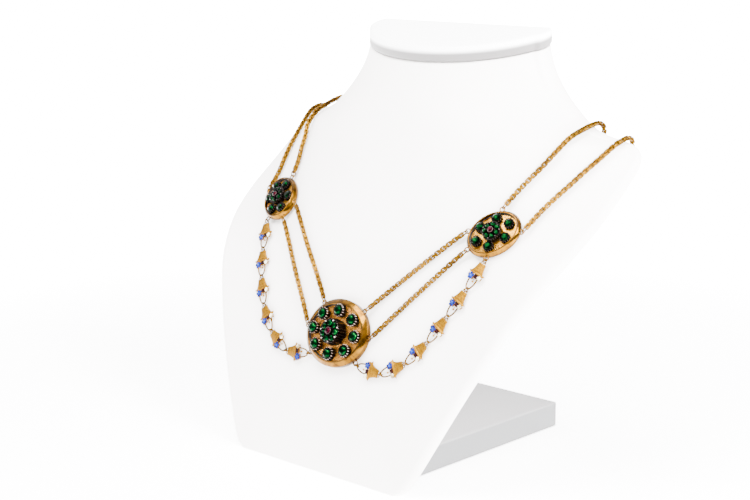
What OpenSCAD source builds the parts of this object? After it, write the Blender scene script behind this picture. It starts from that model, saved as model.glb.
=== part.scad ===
// Enamel festoon necklace of three jewelled plaques, shown on a white neck bust stand.
// Millimetres, +Z up. The front looks along -Y, and the origin lies under the middle of the stand.

/* [Bust] */
// Thickness of the padded chest panel
panel_t = 7; // [5:0.5:9]
// Radius of the wrapped panel edge
panel_edge = 3.5; // [2.5:0.5:4.5]
// Plane of the flat back of the neck and shoulders
back_y = 42; // [41:0.5:44]
// Slope of the top of the neck, lower at the front, in degrees
neck_tilt = 16; // [10:1:20]
// Height of the pad on top of the neck
cap_t = 8; // [5:1:10]
// How far the pad stands out over the neck
cap_proud = 0.8; // [0.2:0.1:1.5]
// Half width of the box foot
foot_half_w = 43.6; // [36:0.2:50]
// Height of the box foot
foot_h = 13.2; // [10:0.2:16]
// Rear end of the box foot
foot_rear_y = 68.5; // [60:0.5:75]

/* [Plaques] */
// Half length of the centre plaque
centre_a = 19.8; // [18:0.1:21]
// Half height of the centre plaque
centre_b = 16.8; // [15:0.1:18]
// Half length of a side plaque
side_a = 13.8; // [13:0.1:15]
// Half height of a side plaque
side_b = 11.2; // [10.5:0.1:12]
// Turn of a side plaque's long axis from level, in degrees
side_turn = 38; // [30:1:45]
// Full depth of the centre plaque's case
centre_case = 4.6; // [4:0.1:5.5]
// Full depth of a side plaque's case
side_case = 3.4; // [3.3:0.1:4]
// Depth of the jewelled plate below the case's rim
plate_drop = 1.4; // [1:0.1:1.8]

/* [Stones] */
// Radius of the outer stones at the girdle
stone_r = 2.35; // [2:0.05:2.4]
// Outer radius of a stone's collet at its foot
collet_r = 3.1; // [2.95:0.05:3.1]
// Height of the centre plaque's outer collets
centre_collet_h = 2.9; // [2.5:0.1:3.5]
// Height of a side plaque's outer collets
side_collet_h = 2.0; // [1.6:0.1:2.4]
// Number of flutes around an outer collet
collet_flutes = 12; // [10:1:14]
// Height of the centre rosette's cup
centre_rosette_h = 5.2; // [4.8:0.1:6]
// Height of a side rosette's cup
side_rosette_h = 3.3; // [3:0.1:4]

/* [Chain] */
// Inside length of a box link
link_bore = 1.92; // [1.9:0.01:1.94]
// Inside width of a box link
link_bore_w = 1.3; // [1.28:0.01:1.34]
// Thickness of the band of a box link
link_t = 0.56; // [0.44:0.02:0.56]
// Width of the band of a box link
link_band = 0.95; // [0.85:0.01:0.96]
// Small links in the upper and in the lower front strand, one side
strand_links = 33; // [33:2:33]
// Outer radius of a back strand's round envelope
back_strand_r = 1.2; // [1.1:0.05:1.4]

/* [Garland] */
// Length of a basket link, from its foot bar to the tip of its handle
basket_len = 14.7; // [14.5:0.1:14.9]
// Thickness of the basket plate
basket_t = 0.9; // [0.7:0.1:1.1]
// Radius of the wire of the handle and of the foot bar
basket_wire = 0.25; // [0.2:0.01:0.28]
// Radius of a jump ring, to the middle of its wire
ring_r = 1.1; // [1.05:0.05:1.15]
// Radius of the wire of a jump ring
ring_wire = 0.2; // [0.18:0.01:0.22]

/* [Hidden] */
$fn = 24;
gap = 0.1;
SIDES = ["left", "right"];

// The bust, one row for each level seen at the flat back: level, half width, front on the middle line,
// front at the side edge, power and roundness of the front's curve, share of the neck's tilt.
Z = 0; HALF_W = 1; FRONT = 2; EDGE = 3; POWER = 4; ROUND = 5; TILT = 6;
BUST = [
    [0, 53.5, -68.5, -68.5, 2.2, 1, 0],
    [2, 57.2, -68.1, -68.1, 2.2, 1, 0],
    [6, 60.4, -67.1, -67.1, 2.2, 1, 0],
    [22, 68.3, -63.1, -63.1, 2.2, 1, 0],
    [40, 76.9, -58.1, -58.1, 2.2, 1, 0],
    [57, 85.0, -52.4, -52.4, 2.2, 1, 0],
    [66, 89.3, -48.9, -48.9, 2.2, 1, 0],
    [75, 93.6, -45.2, -45.2, 2.2, 1, 0],
    [86, 98.8, -40.4, -40.4, 2.2, 1, 0],
    [96, 103.3, -35.8, -33.0, 2.2, 1, 0],
    [104, 107.0, -32.2, -25.6, 2.2, 1, 0],
    [113, 110.0, -28.0, -15.5, 2.2, 1, 0],
    [122, 111.8, -23.7, -3.5, 2.2, 1, 0],
    [131, 112.0, -19.5, 9.5, 2.3, 1, 0],
    [141, 112.0, -15.0, 23.0, 2.4, 1, 0],
    [149, 111.9, -11.4, 34.0, 2.5, 1, 0],
    [154, 111.0, -9.2, 40.0, 2.6, 1, 0],
    [157, 108.5, -7.9, 41.2, 2.6, 0.95, 0],
    [158.6, 104.5, -7.2, 41.8, 2.5, 0.88, 0],
    [160, 97.5, -6.6, 42, 2.5, 0.77, 0],
    [162, 88.5, -5.7, 42, 2.6, 0.66, 0],
    [166, 81.8, -4.0, 42, 2.5, 0.6, 0],
    [172, 75.0, -1.4, 42, 2.1, 0.55, 0],
    [181, 66.6, 1.0, 42, 2, 0.5, 0.35],
    [190, 61.0, 3.2, 42, 2, 0.5, 0.7],
    [197, 58.4, 5.0, 42, 2, 0.5, 0.9],
    [203, 57.0, 6.8, 42, 2, 0.5, 1],
];
BUST_TOP = BUST[len(BUST) - 1];
// Level above which the hollow behind the chest closes, and how fast its ceiling runs back
ceiling_z = 144;
ceiling_run = 9;
bust_columns = 24;
edge_angles = [-54, -18, 18, 54];

function column(c) = [for (row = BUST) [row[Z], row[c]]];
widths = column(HALF_W);
fronts = column(FRONT);
edges = column(EDGE);
powers = column(POWER);
rounds = column(ROUND);

// Front of the bust at a place across and a level
function front_y(x, z) =
    let (s = min(1, abs(x) / lookup(z, widths)), e = lookup(z, edges), f = lookup(z, fronts))
    e - (e - f) * pow(1 - pow(s, lookup(z, powers)), lookup(z, rounds));

function unit(v) = v / norm(v);
function mix(a, b, t) = a + (b - a) * t;
function mirrored(p) = [-p.x, p.y, p.z];

// Outward normal of the chest, taken over a span about as wide as what lies on it
function chest_normal(x, z, span = 4) = unit([
    (front_y(x + span, z) - front_y(x - span, z)) / (2 * span),
    -1,
    (front_y(x, z + span) - front_y(x, z - span)) / (2 * span)]);

// Point at a height over the chest, along its normal or straight forwards, and the height of a point
function on_chest(x, z, lift) = [x, front_y(x, z), z] + lift * chest_normal(x, z);
function before_chest(x, z, lift) = [x, front_y(x, z) + lift / chest_normal(x, z).y, z];
function height_over(p) = (p.y - front_y(p.x, p.z)) * chest_normal(p.x, p.z).y;

// Plaque places: middle of the case on the chest, and its own axes
PLACE = 0; ACROSS = 1; UP = 2; OUT = 3;
function plaque_frame(x, z, span, lift) =
    let (out = chest_normal(x, z, span), across = unit(cross([0, 0, 1], out)))
    [on_chest(x, z, lift), across, cross(out, across), out];
centre_frame = plaque_frame(0, 64.8, 14, 0.3);
side_frame = plaque_frame(70.8, 118.4, 10, 0.7);

// Point of a plaque's own frame: across, up the slope, and out from the foot of the case
function on_plaque(f, p) = f[PLACE] + p.x * f[ACROSS] + p.y * f[UP] + p.z * f[OUT];

// Distance from the middle of an ellipse, turned by an angle, to its edge in a direction
function ellipse_reach(a, b, turn, dir) =
    1 / sqrt(pow(cos(dir - turn) / a, 2) + pow(sin(dir - turn) / b, 2));

// Loops soldered to the plaques' edges, each a direction in the plaque's own plane
loop_r = 1.2;
loop_wire = 0.32;
loop_out = 0.75;
centre_loop_z = 2.0;
side_loop_z = 1.8;
CENTRE_UPPER = 44; CENTRE_LOWER = 2;
SIDE_UPPER = 181; SIDE_LOWER = 222; SIDE_GARLAND = 271; SIDE_INNER = 88; SIDE_OUTER = 10;

// Point at a distance outside a plaque's edge
function outside_centre(dir, d) =
    let (r = ellipse_reach(centre_a, centre_b, 0, dir) + d)
    on_plaque(centre_frame, [r * cos(dir), r * sin(dir), centre_loop_z]);
function outside_side(dir, d) =
    let (r = ellipse_reach(side_a, side_b, side_turn, dir) + d)
    on_plaque(side_frame, [r * cos(dir), r * sin(dir), side_loop_z]);

// A front strand runs from the centre plaque to a side plaque, low over the chest
strand_lift = 1.42;
strand_fade = 8;
end_ring_wire = 0.28;
hook_out = loop_out + loop_r - loop_wire - 2 * gap - end_ring_wire;
end_ring_len = 4.0;
end_ring_w = 2.9;
end_slack = 0.36;
upper_ends = [outside_centre(CENTRE_UPPER, hook_out), outside_side(SIDE_UPPER, hook_out)];
lower_ends = [outside_centre(CENTRE_LOWER, hook_out), outside_side(SIDE_LOWER, hook_out)];

function strand_point(ends, t) =
    let (p = mix(ends[0], ends[1], t), low = on_chest(p.x, p.z, strand_lift))
    low + (ends[0] - on_chest(ends[0].x, ends[0].z, strand_lift)) * pow(1 - t, strand_fade)
    + (ends[1] - on_chest(ends[1].x, ends[1].z, strand_lift)) * pow(t, strand_fade);

function strand_way(ends, t) = unit(strand_point(ends, t + 0.01) - strand_point(ends, t - 0.01));

// Length along a strand, as pairs of length and share of the way
strand_steps = 60;
function run_lengths(ends, i = 0, sum = 0) =
    i > strand_steps ? []
    : let (t = i / strand_steps, before = max(0, i - 1) / strand_steps,
        far = sum + norm(strand_point(ends, t) - strand_point(ends, before)))
    concat([[far, t]], run_lengths(ends, i + 1, far));

// Garland: headings of the six basket links of the right side as seen from the front, in degrees
basket_headings = [-110, -114.5, -120, -131, -151.5, -185];
last_heading = 155;
garland_lift = 1.55;
ring_bend = 0.08;
ring_span = 2 * (ring_r - ring_wire - loop_wire - gap - ring_bend);

// The point at a distance from p, at a height over the chest, in a heading
function next_joint(p, heading, len, lift, s, tries = 5) =
    let (q = before_chest(p.x + s * cos(heading), p.z + s * sin(heading), lift))
    tries == 0 ? q : next_joint(p, heading, len, lift, s * len / norm(q - p), tries - 1);

// Joints in pairs: a basket's foot bar and the tip of its handle
function garland(i, p) =
    i == len(basket_headings) ? []
    : let (
        turn = i == 0 ? basket_headings[0] : mix(basket_headings[i - 1], basket_headings[i], 0.5),
        lift = i == 0 ? height_over(garland_start) : garland_lift,
        foot = next_joint(p, turn, ring_span, lift, ring_span),
        tip = next_joint(foot, basket_headings[i], basket_len, garland_lift, basket_len))
    concat([[foot, tip]], garland(i + 1, tip));
garland_start = outside_side(SIDE_GARLAND, loop_out + loop_r);
right_joints = garland(0, garland_start);
last_tip = right_joints[len(right_joints) - 1][1];
garland_end = next_joint(last_tip, last_heading, ring_span, garland_lift, ring_span);

// Joints of the left side mirror those of the right
function on_hand(side, p) = side == "right" ? p : mirrored(p);
function joints(side) = [for (j = right_joints) [on_hand(side, j[0]), on_hand(side, j[1])]];
function strand_ends(side, level) = [for (p = level == "upper" ? upper_ends : lower_ends) on_hand(side, p)];

// Skin over rings of points, each counted counter-clockwise about the way they go; capped by fans
module skin(rings) {
    n = len(rings[0]);
    m = len(rings);
    polyhedron(
        points = [for (r = rings) each r],
        faces = concat(
            [[for (i = [0 : n - 1]) i]],
            side_faces(n, m),
            [[for (i = [n - 1 : -1 : 0]) (m - 1) * n + i]]));
}
function side_faces(n, m) = [
    for (k = [0 : m - 2], i = [0 : n - 1])
        let (a = k * n + i, b = k * n + (i + 1) % n, c = b + n, d = a + n)
        each [[a, d, c], [a, c, b]]];

// Rings about the Z axis: plain, fluted, scalloped like petals, and oval
function round_ring(n, r, z) = [for (i = [0 : n - 1]) [r * cos(360 * i / n), r * sin(360 * i / n), z]];
function fluted_ring(flutes, r, depth, z) = [
    for (i = [0 : 2 * flutes - 1])
        let (q = r - (i % 2) * depth) [q * cos(180 * i / flutes), q * sin(180 * i / flutes), z]];
PETAL_POINTS = 6;
function petal_ring(petals, r, depth, z) = [
    for (i = [0 : petals * PETAL_POINTS - 1])
        let (a = 360 * i / (petals * PETAL_POINTS), q = r - depth * (1 - abs(cos(petals * a / 2))))
        [q * cos(a), q * sin(a), z]];
function oval_points(n, a, b, z) = [for (i = [0 : n - 1]) [a * cos(360 * i / n), b * sin(360 * i / n), z]];

// Puts a piece at a point, its X axis along a direction and its Z axis close to another
module place(p, along, out) {
    y = unit(cross(out, along));
    x = unit(along);
    z = cross(x, y);
    multmatrix([[x.x, y.x, z.x, p.x], [x.y, y.y, z.y, p.y], [x.z, y.z, z.z, p.z]]) children();
}
module place_on(f) {
    place(f[PLACE], f[ACROSS], f[OUT]) children();
}
module on_side(side) {
    if (side == "right") children();
    else mirror([1, 0, 0]) children();
}

// A round tube swept along a route, its rings carried along without twist
function tangents(route) = [
    for (i = [0 : len(route) - 1]) unit(route[min(i + 1, len(route) - 1)] - route[max(i - 1, 0)])];
function carried(along, start, i = 0) =
    i == len(along) ? []
    : let (n = unit(start - (start * along[i]) * along[i])) concat([n], carried(along, n, i + 1));
module tube(route, r, sides, start) {
    along = tangents(route);
    first = carried(along, start);
    skin([for (i = [0 : len(route) - 1])
        let (u = first[i], v = cross(along[i], u))
        [for (k = [0 : sides - 1]) route[i] + r * (cos(360 * k / sides) * u + sin(360 * k / sides) * v)]]);
}

// Bust: a padded chest panel that wraps into the shoulders and the neck, hollow behind the chest
function wall_at(x, z) = panel_t / -chest_normal(x, z).y + ceiling_run * max(0, z - ceiling_z);
function rear_y(x, z) = min(back_y, front_y(x, z) + wall_at(x, z));
function level_ring(row) =
    let (
        a = row[HALF_W] - panel_edge,
        z = row[Z],
        xs = [for (i = [0 : bust_columns]) a * sin(180 * i / bust_columns - 90)],
        y0 = front_y(a, z),
        y1 = rear_y(a, z),
        mid = (y0 + y1) / 2,
        half = (y1 - y0) / 2,
        flat = concat(
            [for (x = xs) [x, front_y(x, z)]],
            [for (e = edge_angles) [a + panel_edge * cos(e), mid + half * sin(e)]],
            [for (i = [bust_columns : -1 : 0]) [xs[i], rear_y(xs[i], z)]],
            [for (e = edge_angles) [-a - panel_edge * cos(e), mid - half * sin(e)]]))
    [for (p = flat) [p.x, p.y, z + row[TILT] * tan(neck_tilt) * (p.y - back_y)]];

// Faces that close a level of the bust, as a strip from front to back with a fan at each edge
function strip_faces(first) =
    let (n = bust_columns, e = len(edge_angles), back = n + 1 + e)
    concat(
        [for (i = [0 : n - 1])
            let (f = first + i, b = first + back + n - i)
            each [[f, f + 1, b - 1], [f, b - 1, b]]],
        [[for (i = [n : n + e + 1]) first + i]],
        [concat([for (i = [back + n : back + n + e]) first + i], [first])]);
function reversed(faces) = [for (f = faces) [for (i = [len(f) - 1 : -1 : 0]) f[i]]];
module levels_skin(rings) {
    n = len(rings[0]);
    m = len(rings);
    polyhedron(
        points = [for (r = rings) each r],
        faces = concat(strip_faces(0), side_faces(n, m), reversed(strip_faces((m - 1) * n))));
}
module bust_shell() {
    color("white") levels_skin([for (row = BUST) level_ring(row)]);
}

// Neck cap: a padded half-oval lid that follows the slope of the neck's top
cap_round = 1.2;
cap_gap = 0.2;
function cap_ring(h, out) =
    let (
        grow = 1 + (cap_proud + out) / BUST_TOP[HALF_W],
        flat = [for (p = level_ring(BUST_TOP)) [p.x * grow, min(back_y, back_y + (p.y - back_y) * grow)]])
    [for (p = flat) [p.x, p.y, BUST_TOP[Z] + tan(neck_tilt) * (p.y - back_y) + h]];
module neck_cap() {
    color("white") levels_skin([
        cap_ring(cap_gap, -cap_round),
        cap_ring(cap_round, 0),
        cap_ring(cap_t - cap_round, 0),
        cap_ring(cap_t, -cap_round)]);
}

// Foot: a wrapped box that stands behind the chest panel and takes the bust's weight
foot_gap = 0.2;
module bust_foot() {
    front = [rear_y(0, 0) + foot_gap, rear_y(0, foot_h) + foot_gap];
    color("white")
        translate([-foot_half_w, 0, 0]) rotate([90, 0, 90])
            linear_extrude(2 * foot_half_w)
                polygon([[front[0], 0], [foot_rear_y, 0], [foot_rear_y, foot_h], [front[1], foot_h]]);
}

// Plaque: an oval gold case with a sloped rim, a sunk plate and loops soldered to its edge
plaque_points = 40;
case_foot = 0.5;
case_foot_in = 0.35;
slope_drop = 1.7;
rim_ledge = 0.5;
module case(a, b, depth, rim) {
    ledge = rim - rim_ledge;
    skin([
        oval_points(plaque_points, a - case_foot_in, b - case_foot_in, 0),
        oval_points(plaque_points, a, b, case_foot),
        oval_points(plaque_points, a, b, depth - slope_drop),
        oval_points(plaque_points, a - ledge, b - ledge, depth),
        oval_points(plaque_points, a - rim, b - rim, depth),
        oval_points(plaque_points, a - rim, b - rim, depth - plate_drop)]);
}
module loop_at(p) {
    translate(p) rotate_extrude() translate([loop_r, 0]) circle(loop_wire);
}
centre_rim = 2.8;
side_rim = 1.75;
module edge_loop(a, b, turn, dir, z) {
    r = ellipse_reach(a, b, turn, dir) + loop_out;
    loop_at([r * cos(dir), r * sin(dir), z]);
}
function in_frame(f, p) = let (d = p - f[PLACE]) [d * f[ACROSS], d * f[UP], d * f[OUT]];

module centre_plaque() {
    hook = in_frame(centre_frame, garland_end);
    pull = 1 - loop_r / norm([hook.x, hook.y]);
    color("goldenrod") place_on(centre_frame) {
        case(centre_a, centre_b, centre_case, centre_rim);
        for (m = [0, 1]) mirror([m, 0, 0]) {
            edge_loop(centre_a, centre_b, 0, CENTRE_UPPER, centre_loop_z);
            edge_loop(centre_a, centre_b, 0, CENTRE_LOWER, centre_loop_z);
            loop_at([hook.x * pull, hook.y * pull, hook.z]);
        }
    }
}
module side_plaque() {
    color("goldenrod") place_on(side_frame) {
        rotate(side_turn) case(side_a, side_b, side_case, side_rim);
        for (dir = [SIDE_UPPER, SIDE_LOWER, SIDE_GARLAND, SIDE_INNER, SIDE_OUTER])
            edge_loop(side_a, side_b, side_turn, dir, side_loop_z);
    }
}

// Stone rings: half length and half height of the ring, count, size beside the centre's stones,
// turn, level of the plate and height of the collets
RING_A = 0; RING_B = 1; COUNT = 2; SIZE = 3; TURN = 4; PLATE = 5; TALL = 6;
centre_ring = [13.7, 10.8, 8, 1, 0, centre_case - plate_drop, centre_collet_h];
side_ring = [8.7, 6.8, 6, 0.84, side_turn, side_case - plate_drop, side_collet_h];
function ring_place(ring, i) =
    let (t = 360 * i / ring[COUNT], x = ring[RING_A] * cos(t), y = ring[RING_B] * sin(t), turn = ring[TURN])
    [x * cos(turn) - y * sin(turn), x * sin(turn) + y * cos(turn), ring[PLATE] + gap];

// Collet: a fluted silver cup that narrows upwards round its stone
flute_depth = 0.2;
collet_taper = 0.95;
stone_gap = 0.15;
seat_depth = 1.1;
module collet(h) {
    top = collet_r * collet_taper;
    bore = stone_r + stone_gap;
    skin([
        fluted_ring(collet_flutes, collet_r, flute_depth, 0),
        fluted_ring(collet_flutes, top, flute_depth, h),
        round_ring(2 * collet_flutes, bore, h),
        round_ring(2 * collet_flutes, bore, h - seat_depth)]);
}

// Cut stone: an eight-sided girdle, a sloped crown and a flat table
stone_sides = 8;
base_share = 0.8;
table_share = 0.58;
girdle_share = 0.45;
module cut_stone(r, h) {
    rotate(180 / stone_sides) skin([
        round_ring(stone_sides, r * base_share, 0),
        round_ring(stone_sides, r, h * girdle_share),
        round_ring(stone_sides, r * table_share, h)]);
}
stone_h = 1.9;
module ring_collets(frame, ring) {
    color("dimgray") place_on(frame) for (i = [0 : ring[COUNT] - 1])
        translate(ring_place(ring, i)) scale(ring[SIZE]) collet(ring[TALL] / ring[SIZE]);
}
module ring_stone(frame, ring, i) {
    color("green") place_on(frame) translate(ring_place(ring, i)) scale(ring[SIZE])
        translate([0, 0, ring[TALL] / ring[SIZE] - seat_depth + stone_gap]) rotate(360 * i / ring[COUNT])
            cut_stone(stone_r, stone_h);
}

// Puts a piece on a plaque's plate, turned with its ring of stones
module on_plate(frame, ring) {
    place_on(frame) rotate(ring[TURN]) translate([0, 0, ring[PLATE] + gap]) children();
}

// Rosette: a tall scalloped silver cup, petal stones round a post, and a ruby on the post
FOOT_R = 0; TOP_R = 1; PETALS = 2; PETAL_RING = 3; PETAL_R = 4; POST_R = 5; CUP_H = 6;
centre_rosette = [6.7, 6.05, 7, 3.9, 1.6, 1.75, centre_rosette_h];
side_rosette = [4.55, 4.85, 7, 3.1, 1.26, 1.4, side_rosette_h];
petal_depth = 0.5;
cup_wall = 0.35;
cup_floor = 1.0;
post_rise = 0.9;
ruby_seat = 0.5;
ruby_wall = 0.35;
module rosette_cup(frame, ring, r) {
    n = r[PETALS] * PETAL_POINTS;
    h = r[CUP_H];
    color("dimgray") on_plate(frame, ring) skin([
        petal_ring(r[PETALS], r[FOOT_R], petal_depth, 0),
        petal_ring(r[PETALS], r[TOP_R], petal_depth, h),
        petal_ring(r[PETALS], r[TOP_R] - cup_wall, petal_depth, h),
        petal_ring(r[PETALS], r[TOP_R] - cup_wall, petal_depth, h - cup_floor),
        round_ring(n, r[POST_R], h - cup_floor),
        round_ring(n, r[POST_R], h + post_rise),
        round_ring(n, r[POST_R] - ruby_wall, h + post_rise),
        round_ring(n, r[POST_R] - ruby_wall, h + post_rise - ruby_seat)]);
}
petal_h = 1.7;
module petal_stones(frame, ring, r) {
    color("green") on_plate(frame, ring) for (i = [0 : r[PETALS] - 1])
        rotate(360 * i / r[PETALS]) translate([r[PETAL_RING], 0, r[CUP_H] - cup_floor + gap])
            cut_stone(r[PETAL_R], petal_h);
}
ruby_h = 1.3;
module ruby(frame, ring, r) {
    color("crimson") on_plate(frame, ring) translate([0, 0, r[CUP_H] + post_rise - ruby_seat + gap])
        cut_stone(r[POST_R] - ruby_wall - gap, ruby_h);
}

// Box links that lie flat and stand on edge in turn, each through the next
link_corner = 0.35;
module link() {
    len = link_bore + 2 * link_t;
    w = link_bore_w + 2 * link_t;
    linear_extrude(link_band, center = true) difference() {
        polygon([for (c = [[1, 1], [-1, 1], [-1, -1], [1, -1]], s = [1, -1])
            [c.x * (len / 2 - (s * c.x * c.y > 0 ? 0 : link_corner)),
             c.y * (w / 2 - (s * c.x * c.y > 0 ? link_corner : 0))]]);
        square([link_bore, link_bore_w], center = true);
    }
}
module end_ring() {
    arc = end_ring_w / 2 - end_ring_wire;
    half = end_ring_len / 2 - end_ring_w / 2;
    for (m = [0, 1]) mirror([m, 0, 0]) translate([half, 0, 0])
        rotate([0, 0, -90]) rotate_extrude(angle = 180) translate([arc, 0]) circle(end_ring_wire);
    for (m = [-1, 1]) translate([-half, m * arc, 0]) rotate([0, 90, 0])
        cylinder(h = 2 * half, r = end_ring_wire);
}
// A chain lies rolled about its own run, so that both kinds of link show their bands.
// It twists a little from link to link, from the roll of its end rings to its full roll.
ring_roll = 6;
chain_roll = 45;
twist = 3;
function roll_of(i) = min(chain_roll, ring_roll + twist * min(i, strand_links - 1 - i));
function rolled(along, out, roll) = unit(out) * cos(roll) + unit(cross(along, out)) * sin(roll);
module front_strand(ends) {
    way = run_lengths(ends);
    total = way[len(way) - 1][0];
    ring_mid = end_ring_len / 2 - end_ring_wire;
    first = 2 * ring_mid - end_ring_wire - end_slack + link_bore / 2;
    pitch = (total - 2 * first) / (strand_links - 1);
    color("gold") {
        for (i = [0 : strand_links - 1]) {
            t = lookup(first + i * pitch, way);
            p = strand_point(ends, t);
            along = strand_way(ends, t);
            out = rolled(along, chest_normal(p.x, p.z), roll_of(i));
            place(p, along, i % 2 == 0 ? out : cross(out, along)) link();
        }
        for (e = [0, 1]) {
            hook = strand_point(ends, e);
            inner = strand_point(ends, lookup(e == 0 ? 2 * ring_mid : total - 2 * ring_mid, way));
            out = rolled((1 - 2 * e) * (inner - hook), chest_normal(hook.x, hook.z), ring_roll);
            place((hook + inner) / 2, inner - hook, cross(inner - hook, out)) end_ring();
        }
    }
}

// Basket link: a flat flower basket, foot bar at the origin, handle towards +X, face towards +Z
foot_bar_w = 1.5;
frame_len = 1.3;
pot_len = 4.9;
pot_foot_w = 2.0;
pot_top_w = 3.5;
lip_len = 0.9;
lip_w = 4.4;
pot_steps = 6;
pot_start = frame_len - basket_wire;
pot_end = pot_start + pot_len;
lip_end = pot_end + lip_len;
relief = 0.3;
lip_rise = 0.25;
weld = 0.15;
pot_curve = 1.7;
function pot_side(t) = [pot_start + pot_len * t, mix(pot_foot_w, pot_top_w, pow(t, pot_curve))];

// Flowers past the lip: distance along, distance across, petals, spread of the petals, petal radius
ALONG = 0; ASIDE = 1; LOBES = 2; SPREAD = 3; LOBE_R = 4;
FLOWERS = [
    [1.55, -2.2, 5, 1.05, 0.7],
    [0.85, 0.75, 4, 0.6, 0.55],
    [1.0, 3.0, 5, 0.7, 0.5],
];
heart_share = 0.6;
heart_rise = 0.15;
lobe_turn = 45;
// Buds on short stems: distance along, distance across, radius
BUD_R = 2;
BUDS = [[0.75, -3.9, 0.4], [3.6, 0.5, 0.5]];
stem_w = 0.3;

module flower(f) {
    translate([lip_end + f[ALONG], f[ASIDE], -basket_t / 2]) {
        for (i = [0 : f[LOBES] - 1]) rotate(360 * i / f[LOBES] + lobe_turn)
            translate([f[SPREAD], 0, 0]) cylinder(h = basket_t + relief, r = f[LOBE_R]);
        cylinder(h = basket_t + relief + heart_rise, r = f[SPREAD] * heart_share);
    }
}
handle_half_w = 2.2;
handle_sweep = 130;
handle_steps = 12;
wire_sides = 6;
module handle() {
    start = pot_end + lip_len / 2;
    reach = (basket_len - start) / (1 - cos(handle_sweep));
    middle = basket_len - reach;
    route = [for (i = [0 : handle_steps]) let (t = mix(-handle_sweep, handle_sweep, i / handle_steps))
        [middle + reach * cos(t), handle_half_w * sin(t), 0]];
    tube(route, basket_wire, wire_sides, [0, 0, 1]);
}
module basket_link() {
    pot = [for (i = [0 : pot_steps]) pot_side(i / pot_steps)];
    translate([0, 0, -basket_t / 2]) linear_extrude(basket_t)
        polygon(concat(pot, [for (i = [pot_steps : -1 : 0]) [pot[i].x, -pot[i].y]]));
    // the lip's ears end in points a little past the pot's flare
    half_lip = [[0, pot_top_w], [lip_rise, lip_w], [lip_len, lip_w - 2 * lip_rise]];
    translate([pot_end - weld, 0, -basket_t / 2]) linear_extrude(basket_t + lip_rise)
        polygon(concat(half_lip, [for (i = [2 : -1 : 0]) [half_lip[i].x, -half_lip[i].y]]));
    // the foot frame is a bar for the ring between two short arms
    for (m = [-1, 1]) translate([0, m * (foot_bar_w - basket_wire), 0]) rotate([0, 90, 0])
        cylinder(h = pot_start + weld, r = basket_wire);
    translate([0, foot_bar_w, 0]) rotate([90, 0, 0]) cylinder(h = 2 * foot_bar_w, r = basket_wire);
    for (f = FLOWERS) flower(f);
    for (b = BUDS) {
        translate([lip_end + b[ALONG], b[ASIDE], 0]) sphere(b[BUD_R]);
        translate([lip_end - weld, b[ASIDE] - stem_w / 2, -stem_w / 2])
            cube([b[ALONG] + weld, stem_w, stem_w]);
    }
    handle();
}
module basket(side, i) {
    j = joints(side)[i - 1];
    mid = mix(j[0], j[1], 0.5);
    color("goldenrod") place(j[0], j[1] - j[0], chest_normal(mid.x, mid.z)) basket_link();
}

// Jump rings stand across the baskets, one before each basket and one at the end
module jump_ring(a, b) {
    mid = (a + b) / 2;
    place(mid, b - a, cross(b - a, chest_normal(mid.x, mid.z)))
        rotate_extrude() translate([ring_r, 0]) circle(ring_wire);
}
module garland_rings(side) {
    j = joints(side);
    color("gold") {
        jump_ring(on_hand(side, garland_start), j[0][0]);
        for (i = [1 : len(j) - 1]) jump_ring(j[i - 1][1], j[i][0]);
        jump_ring(j[len(j) - 1][1], on_hand(side, garland_end));
    }
}

// Back strands: from a side plaque up the chest, over the shoulder and across the flat back to the clasp
inner_start = 2.8;
outer_start = 3.7;
inner_route = concat([outside_side(SIDE_INNER, inner_start)], [
    [72.9, -6.3, 137.6], [76.0, -0.7, 143.6], [79.0, 5.2, 149.4], [82.0, 10.4, 155.3],
    [83.6, 19.0, 161.4], [84.3, 28.4, 164.6], [85.0, 36.0, 166.4], [85.3, 41.2, 166.6],
    [85.2, 44.6, 164.2], [83.6, 45.3, 160.6], [74, 45.2, 158.6], [62, 45, 157.2],
    [50, 45, 156.3], [38, 45, 155.6], [24, 45, 155.2], [6.4, 45, 155]]);
outer_route = concat([outside_side(SIDE_OUTER, outer_start)], [
    [87.2, -7.2, 129.8], [90.0, -0.4, 135.7], [93.1, 6.8, 141.4], [95.8, 14.3, 147.1],
    [98.7, 22.6, 152.9], [100.7, 29.0, 157.4], [101.7, 33.7, 159.8], [101.9, 39.3, 161.1],
    [101.8, 43.4, 160.2], [100.8, 45.3, 156.6], [94, 45.2, 152.8], [82, 45, 149.8],
    [68, 45, 147.6], [52, 45, 146.1], [32, 45, 145.2], [6.4, 45, 144.8]]);
strand_sides = 8;
module back_strand(route) {
    color("gold") for (side = SIDES) on_side(side) tube(route, back_strand_r, strand_sides, [1, 0, 0]);
}

// Clasp: a plain plate behind the neck that both rows run into
clasp_half_w = 6;
clasp_h = 16;
clasp_t = 3;
clasp_z = 150;
clasp_corner = 2;
clasp_gap = 1.4;
module clasp() {
    color("goldenrod") translate([0, back_y + clasp_gap + clasp_t, clasp_z]) rotate([90, 0, 0])
        linear_extrude(clasp_t) {
            square([2 * clasp_half_w, clasp_h - 2 * clasp_corner], center = true);
            square([2 * (clasp_half_w - clasp_corner), clasp_h], center = true);
            for (i = [-1, 1], k = [-1, 1])
                translate([i * (clasp_half_w - clasp_corner), k * (clasp_h / 2 - clasp_corner)])
                    circle(clasp_corner);
        }
}

PLAQUES = [["centre", 8], ["left", 6], ["right", 6]];
BASKETS = 6;
LEVELS = ["upper", "lower"];

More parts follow.
